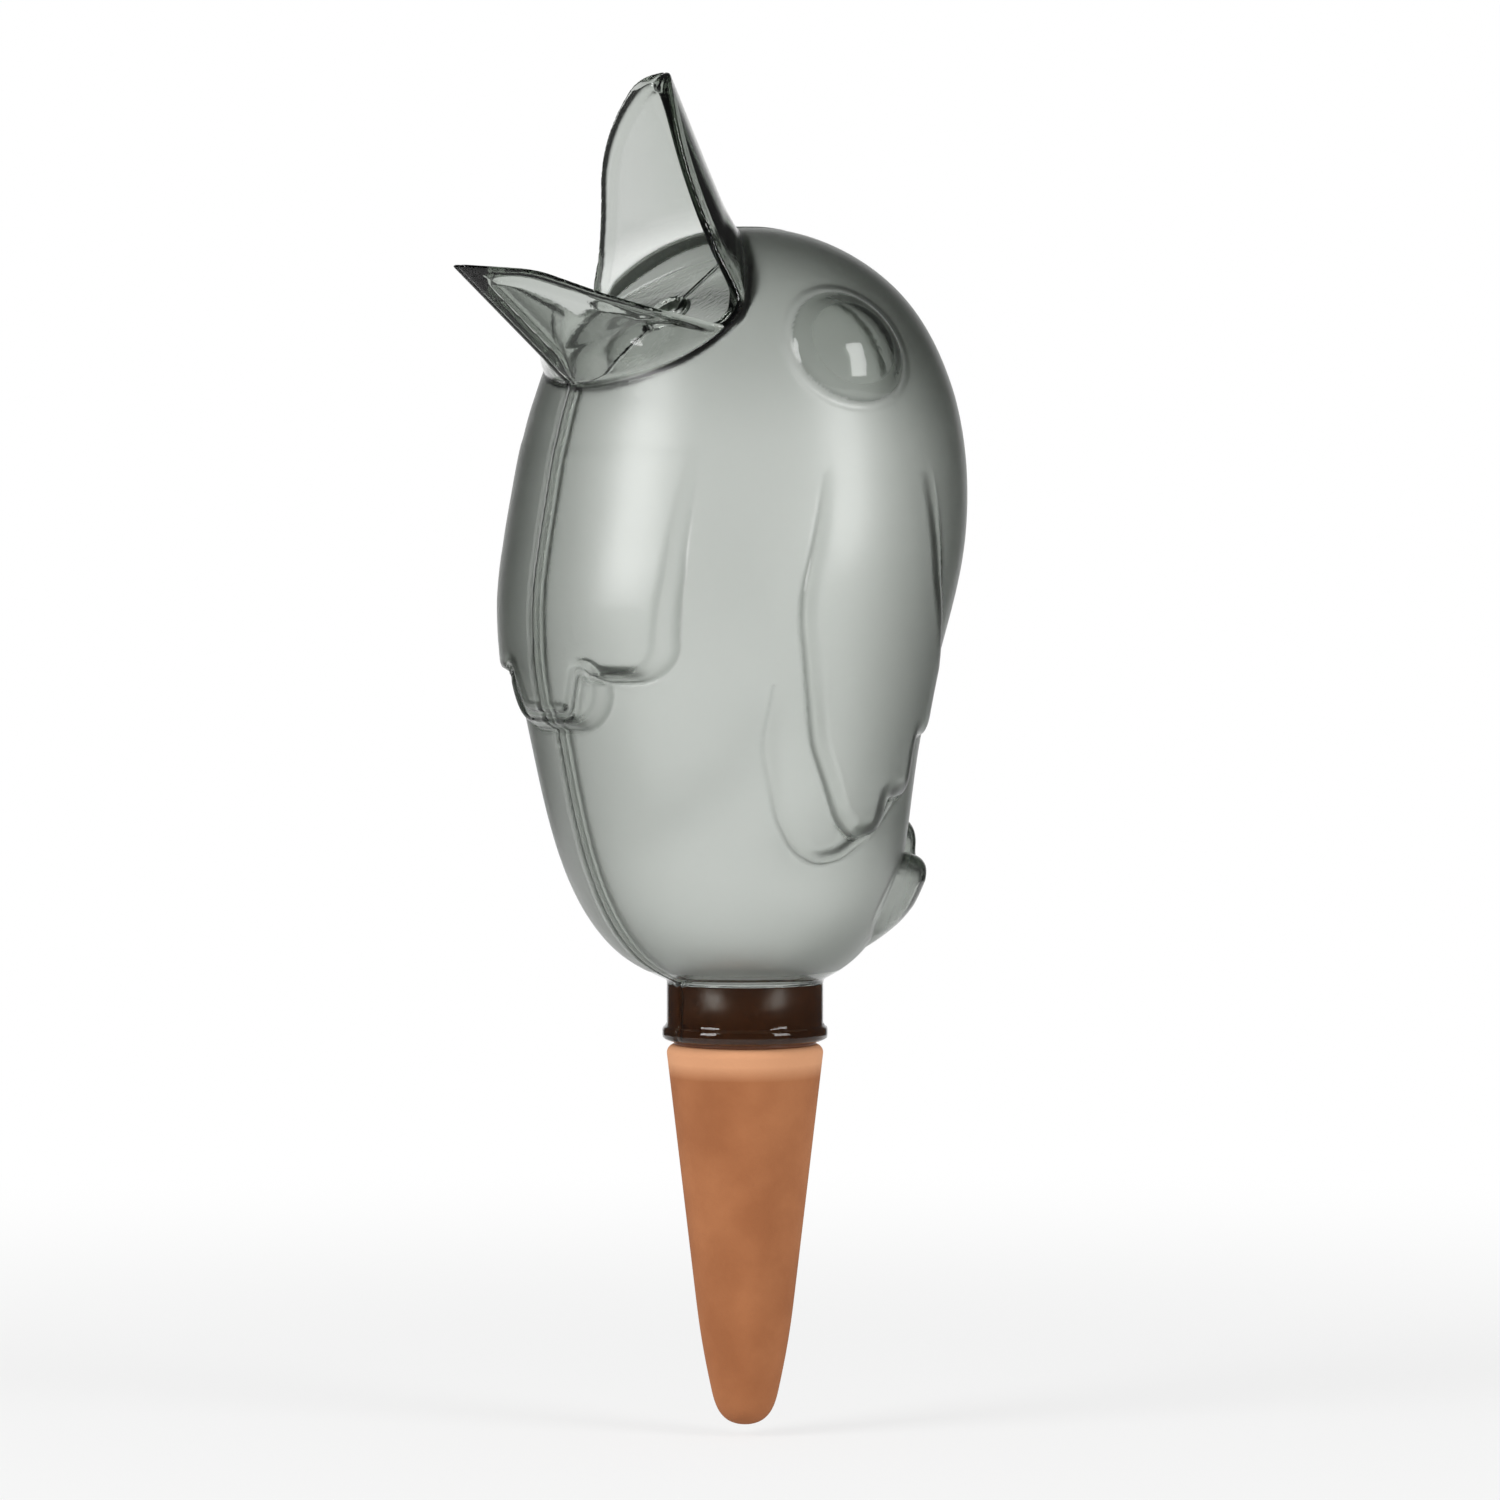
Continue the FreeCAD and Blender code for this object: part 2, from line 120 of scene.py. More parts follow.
BEAK_SIDE = (
    (-8.0, 194.3, 0.0), (21.6, 194.3, 5.0), (25.4, 181.0, 40.0), (17.5, 142.0, 5.0),
    (44.0, 150.4, 25.0), (56.0, 155.0, 20.0), (67.6, 156.0, 1.2), (71.0, 151.0, 0.0),
    (40.0, 118.0, 0.0), (-8.0, 118.0, 0.0),
)
SIDE_ROUND = 0.7

# ---- inside of the beak: wider walls at the ridges and the rim, and a floor with the filling hole
BEAK_WALL = 2.0
RIDGE_WALL_EXTRA = 1.6
RIDGE_POWER_EXTRA = 0.10
RIM_WALL_EXTRA = 0.7
RIM_BAND = (-2.6, -0.6)         # distances from the side outline
MOUTH_ROUND = 0.8
CAVITY_ROUND = 0.5
FLOOR_DEPTH = 1.0
FLOOR_THICKNESS = 2.0           # at the back
FLOOR_FRONT_THICKNESS = 1.1
FLOOR_THINS = (8.0, 24.0)       # along the base
FILL_HOLE_SETBACK = 22.0
FILL_HOLE_RADIUS = 4.0
FILL_HOLE_ROUND = 0.3
FILL_LIP_WALL = 1.2
FILL_LIP_HEIGHT = 1.2
FILL_LIP_ROUND = 0.5
FILL_LIP_FILLET = 0.6

# ---- eyes
EYE_HEIGHT = 140.0
EYE_DIAMETER = 27.0
EYE_SPHERE_RADIUS = 17.0
EYE_FILLET = 0.3
EYE_INNER_FILLET = 1.5
EYE_CREASE_DEPTH = 0.35
EYE_CREASE_REACH = 0.5

# ---- reliefs: (height, how far the relief stands off the body), and outlines
WING_SWELL = ((28.0, 2.8), (55.0, 2.8), (80.0, 1.7), (100.0, 0.9), (119.0, 0.0))
WING_FORWARD_GROWTH = 0.012     # the wing swells more towards the front
FLARE_SWELL = ((38.0, 1.3), (50.0, 1.0), (62.0, 0.5), (74.0, 0.0))
BIB_SWELL = ((56.0, 3.0), (77.0, 2.9), (89.0, 2.2), (100.0, 1.2), (124.0, 0.0))
TAIL_SWELL = ((17.0, 0.3), (22.0, 2.2), (28.0, 4.2), (33.0, 5.1), (52.0, 4.6))
WING_OUTLINE = (
    (10.0, 117.0, 3.0), (16.0, 90.0, 30.0), (10.5, 62.0, 20.0), (3.6, 46.6, 10.0),
    (-1.0, 42.7, 4.0), (-8.5, 44.0, 4.0), (-10.5, 50.5, 0.8), (-18.0, 50.5, 4.5),
    (-20.0, 62.5, 0.8), (-27.0, 62.0, 4.5), (-28.5, 76.0, 5.0), (-21.0, 94.0, 20.0),
    (-17.0, 117.0, 3.0),
)
FLARE_OUTLINE = (
    (11.0, 112.0, 3.0), (18.0, 88.0, 30.0), (20.0, 62.0, 20.0), (16.2, 48.0, 20.0),
    (12.2, 41.0, 10.0), (6.5, 37.6, 8.0), (0.5, 38.6, 10.0), (-7.0, 43.2, 3.0),
    (-14.0, 50.0, 3.0), (-14.0, 112.0, 3.0),
)
BIB_SIDE = (
    (32.0, 122.0, 3.0), (31.2, 95.0, 30.0), (28.8, 74.3, 8.5), (14.8, 74.0, 2.0),
    (12.4, 75.8, 0.8), (8.4, 66.4, 4.0),
)
LOBE_SIDE = ((17.2, 84.0, 2.0), (16.8, 64.2, 10.0))
LOBE_SHARE = 0.80               # the lobe lies lower than the bib, which covers its upper part
TAIL_SIDE = (
    (12.0, 45.2, 6.0), (12.0, 38.2, 0.8), (25.0, 38.6, 6.0), (25.0, 24.0, 9.0), (10.0, 18.5, 4.0),
)
FRONT_FROM = 8.0                # the bib lies further forward than this, the tail as far back
BIB_CHAMFER = 1.8               # width of the bib's sloping side, outside
PILLOW_EDGE = 4.0               # width over which the wing and tail round up, outside
INNER_INSET = 1.2               # inside, every relief starts further in and rises more softly
INNER_EDGE = 2.8

# ---- creases along the reliefs
FOOT_CREASE_DEPTH = 0.30
FLARE_CREASE_DEPTH = 0.15
CHAMFER_CREASE_DEPTH = 0.16     # along the top of the bib's chamfer
CREASE_REACH = 0.45
CREASE_FADE = (119.0, 90.0)     # heights
CREASE_CLEARANCE = 0.5          # a covered outline's crease stays this far off what covers it
FLARE_CREASE_TOP = 74.0
WING_CREASE_SIDE = 15.0         # the wing's creases lie further out than this

# ---- polish and painted shade: where the plastic is polished, and where shade is painted into its colour
CLEAR_BEAK_ABOVE = 125.0
CLEAR_BEAK_RISE = (0.3, 0.8)    # off the body
CLEAR_MOUTH_WITHIN = 0.5        # inside the beak's outer skin
CLEAR_MOUTH_ABOVE = -4.0        # over the beak's base
CLEAR_NECK_BELOW = 15.0
CLEAR_EYE_BAND = 0.15           # off the eye's sphere
CLEAR_EYE_RISE = 0.05           # off the body
TAIL_BACK = -15.0
TAIL_BELOW = 50.0
TAIL_RISE = (0.5, 2.0)          # off the body
TAIL_POLISH = 0.3
CREASE_WITHIN = 0.9             # deeper in the body lies the inner skin, which has no creases
CREASE_POLISH = 0.6
# painted shade: the beak's upper part is darkened in colour, though it is the body's plastic
BEAK_PAINTED_SHADE = 0.5
BEAK_PAINTED_SHADE_RISE = (4.0, 12.0)    # over the beak's base
# painted shade in the creases along the reliefs
CREASE_PAINTED_SHADE = 0.9
# painted shade on the eye
EYE_PAINTED_SHADE = 0.9
# painted shade on the crown, darker towards the back and the top
CROWN_PAINTED_SHADE = 0.5
CROWN_PAINTED_SHADE_BACK = (5.0, -20.0)  # forward
CROWN_PAINTED_SHADE_RISE = (118.0, 142.0)

FROSTED_ROUGHNESS = 0.32
CLEAR_ROUGHNESS = 0.05
PLASTIC_IOR = 1.49
# painted shade: the plastic's colour is darkened towards this where the painted shade is full
PLASTIC_PAINTED_SHADE = (0.40, 0.42, 0.40, 1)
PLASTIC_COLOR = (0.520, 0.575, 0.510, 1)    # absorbs (1 - colour) * PLASTIC_DENSITY per metre
PLASTIC_DENSITY = 225.0
PLUG_COLOR = (0.130, 0.042, 0.014, 1)
ADHESIVE_COLOR = (0.6, 0.56, 0.48, 1)
CLAY_DARK = (0.335, 0.116, 0.039, 1)
CLAY_LIGHT = (0.435, 0.166, 0.063, 1)
CLAY_PAINTED_LIGHT = (0.72, 0.36, 0.19, 1)           # a painted paler band round the cone's top, which stands in for light falling there
CLAY_PAINTED_LIGHT_SHARE = 0.8
CLAY_PAINTED_LIGHT_FROM = -0.0065
CLAY_PAINTED_LIGHT_TO = -0.0035
CLAY_CLOUDS = (0.35, 0.68)                  # where the clouds' noise is all dark and all light
WAVE_DEPTH = 0.002
GRAIN_DEPTH = 0.0002

# ---- stage, in metres: the camera looks from the bird's left front
AZIMUTH = math.radians(56.5)
TOWARDS_CAMERA = Vector((math.sin(AZIMUTH), -math.cos(AZIMUTH), 0))
TO_THE_RIGHT = Vector((math.cos(AZIMUTH), math.sin(AZIMUTH), 0))
UP = Vector((0, 0, 1))
LENS = 210                      # lens and sensor in millimetres
SENSOR_WIDTH = 36
CLIP_START = 0.01
CAMERA_DISTANCE = 1.75
CAMERA_HEIGHT = 0.150
AIM_RIGHT = 0.001
AIM_HEIGHT = 0.059
LIGHT_AIM = (0, 0, 0.06)
FLOOR_HEIGHT = -0.079
FLOOR_RADIUS = 0.62
FLOOR_SIDES = 96
FLOOR_COLOR = (0.82, 0.82, 0.82, 1)
FLOOR_WHITE = 0.70              # share of plain white in the floor close to the object
FLOOR_SHADOW = (0.12, 0.55)     # radii between which the floor turns plain white
FLOOR_SCREEN = (0.0, 0.3)       # behind the object, where the plastic starts to see a white floor
ROOM_COLOR = (0.80, 0.81, 0.80, 1)
ROOM_LEVEL = 0.5                # light of the room on matt things
SIDE_LEVEL = 0.05               # what the plastic shows of the studio's dark sides
SCREEN_EDGE = math.cos(math.radians(29))
SCREEN_MIDDLE = math.cos(math.radians(11))


# ---------------------------------------------------------------- field helpers

def smoothstep(low, high, x):
    """0 at low and 1 at high, which may lie the other way round."""
    t = np.clip((x - low) / (high - low), 0.0, 1.0)
    return t * t * (3 - 2 * t)


def smooth_min(a, b, reach):
    blend = np.clip(0.5 + 0.5 * (b - a) / reach, 0.0, 1.0)
    return b + (a - b) * blend - reach * blend * (1 - blend)


def smooth_max(a, b, reach):
    return -smooth_min(-a, -b, reach)


def crease(distance, depth, reach):
    return depth * np.exp(-(distance / reach) ** 2)


def rounded_outline(corners, arc_points=13):
    """Points of a closed outline whose corners (a, b, radius) are rounded by arcs."""
    points = []
    spots = [np.array(c[:2]) for c in corners]
    for i, (a, b, radius) in enumerate(corners):
        here = spots[i]
        if radius <= 0:
            points.append(here)
            continue
        back = spots[i - 1] - here
        back /= np.linalg.norm(back)
        ahead = spots[(i + 1) % len(spots)] - here
        ahead /= np.linalg.norm(ahead)
        half = math.acos(float(np.clip(back @ ahead, -1, 1))) / 2
        bisector = (back + ahead) / np.linalg.norm(back + ahead)
        centre = here + bisector * radius / math.sin(half)
        start = here + back * radius / math.tan(half) - centre
        end = here + ahead * radius / math.tan(half) - centre
        sweep = math.pi - 2 * half
        for t in np.linspace(0, 1, arc_points):
            turned = start * math.sin((1 - t) * sweep) + end * math.sin(t * sweep)
            points.append(centre + turned / math.sin(sweep))
    return np.array(points)


def both_sides(side):
    """A closed outline from its half at the bird's left."""
    return tuple(side) + tuple((-a, b, radius) for a, b, radius in reversed(side))


class Table:
    """Signed distance to a closed outline, kept on a fine grid and read between its points."""

    def __init__(self, outline, low, high, step=0.25):
        self.low = np.array(low, float)
        self.step = step
        counts = [int(math.ceil((end - start) / step)) + 1 for start, end in zip(low, high)]
        a = low[0] + step * np.arange(counts[0])
        b = low[1] + step * np.arange(counts[1])
        a, b = np.meshgrid(a, b, indexing="ij")
        nearest = np.full(a.shape, 1e9)
        inside = np.zeros(a.shape, bool)
        for (a0, b0), (a1, b1) in zip(outline, np.roll(outline, -1, axis=0)):
            run = (a1 - a0) ** 2 + (b1 - b0) ** 2
            if run < 1e-12:
                continue
            t = np.clip(((a - a0) * (a1 - a0) + (b - b0) * (b1 - b0)) / run, 0, 1)
            away = (a - a0 - t * (a1 - a0)) ** 2 + (b - b0 - t * (b1 - b0)) ** 2
            nearest = np.minimum(nearest, away)
            if b0 != b1:
                inside ^= ((b0 <= b) != (b1 <= b)) & (a < a0 + (b - b0) * (a1 - a0) / (b1 - b0))
        self.values = (np.sqrt(nearest) * np.where(inside, -1, 1)).astype(np.float32)

    def __call__(self, a, b):
        u = np.clip((a - self.low[0]) / self.step, 0, self.values.shape[0] - 1.001)
        v = np.clip((b - self.low[1]) / self.step, 0, self.values.shape[1] - 1.001)
        i = u.astype(np.int32)
        j = v.astype(np.int32)
        u = u - i
        v = v - j
        t = self.values
        near = (1 - v) * t[i, j] + v * t[i, j + 1]
        far = (1 - v) * t[i + 1, j] + v * t[i + 1, j + 1]
        return (1 - u) * near + u * far


def spline(knots, values, at):
    """Natural cubic spline through (knots, values), read at the given places."""
    knots = np.array(knots, float)
    values = np.array(values, float)
    n = len(knots)
    gaps = np.diff(knots)
    rises = np.diff(values) / gaps
    matrix = np.eye(n)
    right = np.zeros(n)
    for i in range(1, n - 1):
        matrix[i, i - 1:i + 2] = gaps[i - 1], 2 * (gaps[i - 1] + gaps[i]), gaps[i]
        right[i] = 6 * (rises[i] - rises[i - 1])
    bend = np.linalg.solve(matrix, right)
    i = np.clip(np.searchsorted(knots, at) - 1, 0, n - 2)
    g = gaps[i]
    p = (knots[i + 1] - at) / g
    q = (at - knots[i]) / g
    return (p * values[i] + q * values[i + 1]
            + ((p ** 3 - p) * bend[i] + (q ** 3 - q) * bend[i + 1]) * g * g / 6)


def body_profile():
    """Closed outline of the body in (radius, height), mirrored over the axis."""
    radii = [r for z, r, shift in BODY_STATIONS] + [r for r, z in CROWN_POINTS]
    heights = [z for z, r, shift in BODY_STATIONS] + [z for r, z in CROWN_POINTS]
    radii += [-CROWN_POINTS[0][0]]
    heights += [CROWN_POINTS[0][1]]
    steps = np.hypot(np.diff(radii), np.diff(heights))
    along = np.concatenate([[0], np.cumsum(steps)])
    at = np.linspace(0, along[-2], PROFILE_POINTS)
    side = np.stack([spline(along, radii, at), spline(along, heights, at)], 1)
    side[:, 0] = np.maximum(side[:, 0], 0)
    return np.concatenate([side, side[::-1] * (-1, 1)])


PROFILE = body_profile()
BODY_TABLE = Table(PROFILE, (0, 0), (62, 176))
WING_TABLE = Table(rounded_outline(WING_OUTLINE), (-45, 20), (40, 130))
FLARE_TABLE = Table(rounded_outline(FLARE_OUTLINE), (-45, 20), (40, 130))
BIB_TABLE = Table(rounded_outline(both_sides(BIB_SIDE)), (0, 50), (50, 135))
LOBE_TABLE = Table(rounded_outline(both_sides(LOBE_SIDE)), (0, 50), (50, 135))
TAIL_TABLE = Table(rounded_outline(both_sides(TAIL_SIDE)), (0, 5), (50, 60))
SIDE_TABLE = Table(rounded_outline(BEAK_SIDE), (-12, 112), (76, 200))
HEIGHTS = np.arange(0, 180, 0.25)
SHIFTS = spline([s[0] for s in BODY_STATIONS], [s[2] for s in BODY_STATIONS],
                np.clip(HEIGHTS, BODY_STATIONS[0][0], BODY_STATIONS[-1][0]))


def radius_at(height):
    right = PROFILE[:PROFILE_POINTS]
    i = int(np.argmin(np.abs(right[:, 1] - height)))
    return right[i, 0]


def eye_centre():
    """Centre of the eye's sphere, (x, height): its rim is a circle of EYE_DIAMETER on the head."""
    step = EYE_DIAMETER / 10
    radius = radius_at(EYE_HEIGHT)
    growth = radius_at(EYE_HEIGHT + step) - radius_at(EYE_HEIGHT - step)
    outward = np.array([2 * step, -growth]) / math.hypot(2 * step, growth)
    dip = EYE_DIAMETER ** 2 / (8 * radius)
    rim = math.sqrt(EYE_SPHERE_RADIUS ** 2 - (EYE_DIAMETER / 2) ** 2)
    return np.array([radius, EYE_HEIGHT]) - outward * (rim + dip)


EYE_X, EYE_Z = eye_centre()


# ---------------------------------------------------------------- the tank's field

def body_field(x, forward, z):
    return BODY_TABLE(np.hypot(x, forward - np.interp(z, HEIGHTS, SHIFTS)), z)


def eye_field(x, forward, z):
    return np.sqrt((x - EYE_X) ** 2 + forward ** 2 + (z - EYE_Z) ** 2) - EYE_SPHERE_RADIUS


def swell(pairs, height):
    return np.interp(height, [p[0] for p in pairs], [p[1] for p in pairs])


def chamfer(outline_distance):
    return np.clip(-outline_distance / BIB_CHAMFER, 0, 1)


def pillow(outline_distance):
    """A quarter-round rise: a crisp foot and a soft top."""
    return np.sqrt(1 - (1 - np.clip(-outline_distance / PILLOW_EDGE, 0, 1)) ** 2)


def soft(outline_distance):
    return smoothstep(INNER_INSET, INNER_INSET + INNER_EDGE, -outline_distance)


def relief_height(x, forward, z, flat_rise, round_rise):
    """How far the wing, bib and tail stand off the body at a point."""
    flare = swell(FLARE_SWELL, z) * round_rise(FLARE_TABLE(forward, z))
    wing = swell(WING_SWELL, z) * (1 + WING_FORWARD_GROWTH * forward)
    wing = flare + (wing - flare) * round_rise(WING_TABLE(forward, z))
    bib = np.maximum(flat_rise(BIB_TABLE(x, z)), LOBE_SHARE * flat_rise(LOBE_TABLE(x, z)))
    bib = swell(BIB_SWELL, z) * bib * (forward > FRONT_FROM)
    tail = swell(TAIL_SWELL, z) * round_rise(TAIL_TABLE(x, z)) * (forward < -FRONT_FROM)
    return np.maximum(np.maximum(wing, bib), tail)


def relief_creases(x, forward, z):
    """Depth of the fine creases along the wing, its flare, the bib and its lobe."""
    wing = WING_TABLE(forward, z)
    flare = crease(FLARE_TABLE(forward, z), FLARE_CREASE_DEPTH, CREASE_REACH)
    flare = flare * (wing > CREASE_CLEARANCE) * (z < FLARE_CREASE_TOP)
    side = crease(wing, FOOT_CREASE_DEPTH, CREASE_REACH) + flare
    bib = BIB_TABLE(x, z)
    front = 0.0
    for edge, shows in ((bib, 1), (LOBE_TABLE(x, z), bib > CREASE_CLEARANCE)):
        foot = crease(edge, FOOT_CREASE_DEPTH, CREASE_REACH)
        top = crease(edge + BIB_CHAMFER, CHAMFER_CREASE_DEPTH, CREASE_REACH)
        front = front + (foot + top) * shows
    lines = side * (np.abs(x) > WING_CREASE_SIDE) + front * (forward > FRONT_FROM)
    return smoothstep(*CREASE_FADE, z) * lines


def beak_frame(forward, z):
    """Distance along the beak's base, from its back, and the height over it."""
    f0, z0 = BEAK_BACK
    along = (forward - f0) * math.cos(BEAK_SLOPE) + (z0 - z) * math.sin(BEAK_SLOPE)
    over = (forward - f0) * math.sin(BEAK_SLOPE) + (z - z0) * math.cos(BEAK_SLOPE)
    return along, over


def beak_loft(along, across, over, shrink, ridge_extra=0.0, power_extra=0.0):
    """Signed field of the beak's loft, drawn in by shrink, and by ridge_extra at the ridges."""
    back = UPPER_LEAN * over
    front = BEAK_BASE_LENGTH + LOWER_LEAN * over
    middle = (back + front) / 2
    is_front = smoothstep(-MIDDLE_BLEND, MIDDLE_BLEND, along - middle)
    risen = smoothstep(0, RING_HEIGHT, over)
    back_power = RING_BACK_POWER + (UPPER_POWER - RING_BACK_POWER) * risen
    front_power = RING_FRONT_POWER + (LOWER_POWER - RING_FRONT_POWER) * risen
    power = back_power + (front_power - back_power) * is_front + power_extra
    upper_risen = smoothstep(0, UPPER_HEIGHT, over)
    upper_width = RING_HALF_WIDTH + (UPPER_HALF_WIDTH - RING_HALF_WIDTH) * upper_risen
    lower_width = RING_HALF_WIDTH + (LOWER_HALF_WIDTH - RING_HALF_WIDTH) * risen
    narrowing = shrink * 2 ** (1 / power - 0.5)
    half_width = upper_width + (lower_width - upper_width) * is_front - narrowing
    half_length = (front - back) / 2 + RIDGE_REACH * risen - narrowing - ridge_extra
    u = np.maximum(np.abs(along - middle) / half_length, 1e-4)
    v = np.maximum(np.hypot(across, RIDGE_ROUNDING * risen) / half_width, 1e-4)
    total = u ** power + v ** power
    steepness = np.hypot(u ** (power - 1) / half_length, v ** (power - 1) / half_width)
    return (total ** (1 / power) - 1) / (total ** (1 / power - 1) * steepness)


def neck_fields(x, forward, z):
    """The neck's tube and bead, which are solid here, and the bore through them."""
    radius = np.hypot(x, forward)
    tube = np.maximum(np.maximum(radius - NECK_RADIUS, z - NECK_TOP), NECK_FOOT - z)
    bead_middle = NECK_FOOT + BEAD_HEIGHT / 2
    bead_ends = np.abs(z - bead_middle) - BEAD_HEIGHT / 2
    bead = smooth_max(radius - BEAD_RADIUS, bead_ends, BEAD_ROUND)
    bore = np.maximum(radius - NECK_BORE, z - NECK_TOP - BORE_REACH)
    return tube, bead, bore


def with_filling_hole(shell, along, across, over):
    """The shell with the filling hole and its lip in the mouth floor."""
    from_axis = np.hypot(along - FILL_HOLE_SETBACK, across)
    from_floor = np.abs(over + FLOOR_DEPTH)
    lip_wall = np.abs(from_axis - FILL_HOLE_RADIUS - FILL_LIP_WALL / 2) - FILL_LIP_WALL / 2
    lip = smooth_max(lip_wall, from_floor - FILL_LIP_HEIGHT, FILL_LIP_ROUND)
    shell = smooth_min(shell, lip, FILL_LIP_FILLET)
    hole_ends = from_floor - 2 * FLOOR_THICKNESS
    hole = smooth_max(from_axis - FILL_HOLE_RADIUS, hole_ends, FILL_HOLE_ROUND)
    return np.maximum(shell, -hole)


def tank_field(p):
    """The plastic of the tank's left half: p is an array of points (x, y, z)."""
    x, forward, z = p[..., 0], -p[..., 1], p[..., 2]
    body = body_field(x, forward, z)
    eye = eye_field(x, forward, z)
    along, over = beak_frame(forward, z)
    side = SIDE_TABLE(forward, z)
    neck, bead, bore = neck_fields(x, forward, z)

    # the outside: body with reliefs, seam land and eye, then neck, bead, beak and the seam's groove
    outer = body - relief_height(x, forward, z, chamfer, pillow) + relief_creases(x, forward, z)
    land = smoothstep(SEAM_LAND_HALF_WIDTH + SEAM_LAND_EDGE,
                      SEAM_LAND_HALF_WIDTH - SEAM_LAND_EDGE, x)
    land = land * smoothstep(*SEAM_LAND_FADE, forward)
    outer = outer - SEAM_LAND_HEIGHT * land
    eye_crease = crease(np.hypot(eye, body), EYE_CREASE_DEPTH, EYE_CREASE_REACH)
    outer = smooth_min(outer, eye, EYE_FILLET) + eye_crease
    outer = smooth_min(outer, neck, NECK_FILLET)
    outer = smooth_min(outer, bead, NECK_FILLET)
    cone = beak_loft(along, x, over, 0.0)
    beak = smooth_max(np.maximum(cone, -BEAK_SINK - over), side, SIDE_ROUND)
    outer = smooth_min(outer, beak, BEAK_FILLET)
    outer = outer + crease(x, SEAM_GROOVE_DEPTH, SEAM_GROOVE_REACH)

    # the mouth: the beak's open inside, down to its floor
    risen = smoothstep(0, RING_HEIGHT, over)
    wall = BEAK_WALL + RIM_WALL_EXTRA * smoothstep(*RIM_BAND, side)
    channel = beak_loft(along, x, over, wall, RIDGE_WALL_EXTRA * risen, RIDGE_POWER_EXTRA * risen)
    mouth = smooth_max(channel, -FLOOR_DEPTH - over, MOUTH_ROUND)

    # the water space: it stays a wall away from the outside and a floor away from the mouth
    inner = body - relief_height(x, forward, z, soft, soft)
    rim = 1 - smoothstep(SEAM_RIM_HALF_WIDTH - SEAM_RIM_EDGE,
                         SEAM_RIM_HALF_WIDTH + SEAM_RIM_EDGE, x)
    space = smooth_min(inner, eye, EYE_INNER_FILLET) + (WALL + SEAM_RIM_DEPTH * rim)
    thinner = smoothstep(*FLOOR_THINS, along)
    mouth_floor = FLOOR_THICKNESS + (FLOOR_FRONT_THICKNESS - FLOOR_THICKNESS) * thinner
    space = smooth_max(space, mouth_floor - mouth, CAVITY_ROUND)
    space = smooth_min(space, bore, BORE_FILLET)

    shell = np.maximum(smooth_max(outer, -mouth, MOUTH_ROUND), -space)
    return np.maximum(with_filling_hole(shell, along, x, over), -WELD_OVERLAP - x)


# ---------------------------------------------------------------- meshes

def sample(field, low, counts, step, layers=16):
    """Field values on a grid, a few layers at a time, so that memory stays small."""
    values = np.empty(counts, np.float32)
    axes = [low[i] + step * np.arange(counts[i]) for i in range(3)]
    for first in range(0, counts[2], layers):
        layer = slice(first, min(first + layers, counts[2]))
        grid = np.stack(np.meshgrid(axes[0], axes[1], axes[2][layer], indexing="ij"), -1)
        values[:, :, layer] = field(grid)
    return values


def gradient(field, points, reach=0.02):
    slopes = np.empty_like(points)
    for i in range(3):
        offset = np.zeros(3)
        offset[i] = reach
        slopes[:, i] = (field(points + offset) - field(points - offset)) / (2 * reach)
    return slopes


def settle(field, points, rounds=3, flattest=0.2, longest=0.4):
    """Moves points onto the field's surface along its slope."""
    for _ in range(rounds):
        value = field(points)
        slope = gradient(field, points)
        strength = np.maximum((slope ** 2).sum(1), flattest)
        move = np.clip(value / strength, -longest, longest)
        points = points - slope * move[:, None]
    return points


def surface_net(field, low, high, step):
    """Quads on the field's zero surface: one vertex in each cell that the surface crosses."""
    counts = [int(math.ceil((end - start) / step)) + 1 for start, end in zip(low, high)]
    values = sample(field, low, counts, step)
    strides = np.array([counts[1] * counts[2], counts[2], 1])
    ids, spots, quads = [], [], []
    for axis in range(3):
        other = [i for i in range(3) if i != axis]
        a = np.moveaxis(values, axis, 0)[:-1]
        b = np.moveaxis(values, axis, 0)[1:]
        cross = np.argwhere((a < 0) != (b < 0))
        va = a[tuple(cross.T)]
        vb = b[tuple(cross.T)]
        index = np.zeros((len(cross), 3), np.int64)
        index[:, axis] = cross[:, 0]
        index[:, other[0]] = cross[:, 1]
        index[:, other[1]] = cross[:, 2]
        place = index.astype(float)
        place[:, axis] += va / (va - vb)
        keep = (index[:, other[0]] > 0) & (index[:, other[1]] > 0)
        index, place, rising = index[keep], place[keep], (va < 0)[keep]
        corners = []
        for da, db in ((0, 0), (1, 0), (1, 1), (0, 1)):
            cell = index.copy()
            cell[:, other[0]] -= da
            cell[:, other[1]] -= db
            corners.append(cell @ strides)
            spots.append(place)
        ids += corners
        quad = np.stack(corners, 1)
        flip = rising if axis == 1 else ~rising
        quad[flip] = quad[flip][:, ::-1]
        quads.append(quad)
    ids = np.concatenate(ids)
    spots = np.concatenate(spots)
    unique, inverse = np.unique(ids, return_inverse=True)
    number = np.bincount(inverse)
    points = np.stack([np.bincount(inverse, spots[:, i]) / number for i in range(3)], 1)
    points = np.array(low) + points * step
    return settle(field, points), np.searchsorted(unique, np.concatenate(quads))


def turned_mesh(outline, sides):
    """Points and quads of a closed outline (radius, height) turned round the axis."""
    ring = rounded_outline(outline)
    turns = np.linspace(0, 2 * math.pi, sides + 1)[:-1]
    points = np.stack([
        np.outer(np.cos(turns), ring[:, 0]),
        np.outer(np.sin(turns), ring[:, 0]),
        np.tile(ring[:, 1], (sides, 1)),
    ], -1).reshape(-1, 3)
    here = np.arange(sides * len(ring)).reshape(sides, len(ring))
    beside = np.roll(here, -1, 0)
    faces = np.stack([here, beside, np.roll(beside, -1, 1), np.roll(here, -1, 1)], -1)
    return points, faces.reshape(-1, 4)


